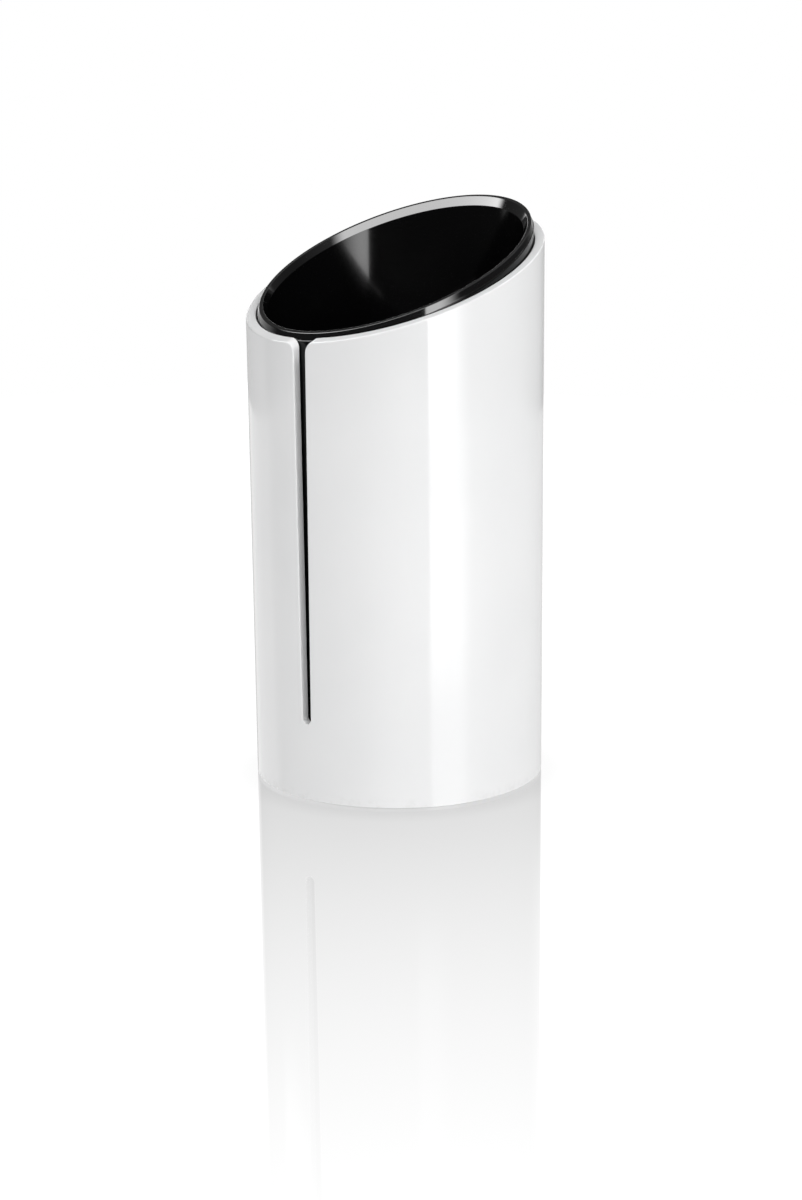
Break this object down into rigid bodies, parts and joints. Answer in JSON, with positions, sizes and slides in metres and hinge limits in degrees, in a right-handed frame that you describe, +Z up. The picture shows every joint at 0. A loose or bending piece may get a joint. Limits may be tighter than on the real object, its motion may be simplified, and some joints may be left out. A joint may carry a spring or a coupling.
{
  "type": "pen stand",
  "caption": "Round desk pen stand with a slanted rim: a white sleeve with a long slit down its low side and a black cup that lifts out of it.",
  "frame": {"origin": "centre of the underside, on the surface that the stand rests on", "axes": "+Z up along the axis of the sleeve, slit and low side of the rim towards -Y, high side towards +Y"},
  "size_m": [0.08, 0.08, 0.1586],
  "materials": {
    "white_sleeve": "high gloss",
    "black_cup": "high gloss",
    "black_base": "fine texture",
    "screw_steel": "zinc plated",
    "pad_rubber": "fine grain"
  },
  "bodies": {
    "sleeve": {"outer_sleeve": "white_sleeve", "base_plate": "black_base", "base_screws": "screw_steel", "foot_pad": "pad_rubber"},
    "cup": {"inner_cup": "black_cup"}
  },
  "joints": [
    {"name": "cup_lift", "type": "slide", "parent": "sleeve", "child": "cup", "axis": [0, 0, 1], "range_m": [0, 0.15]}
  ]
}
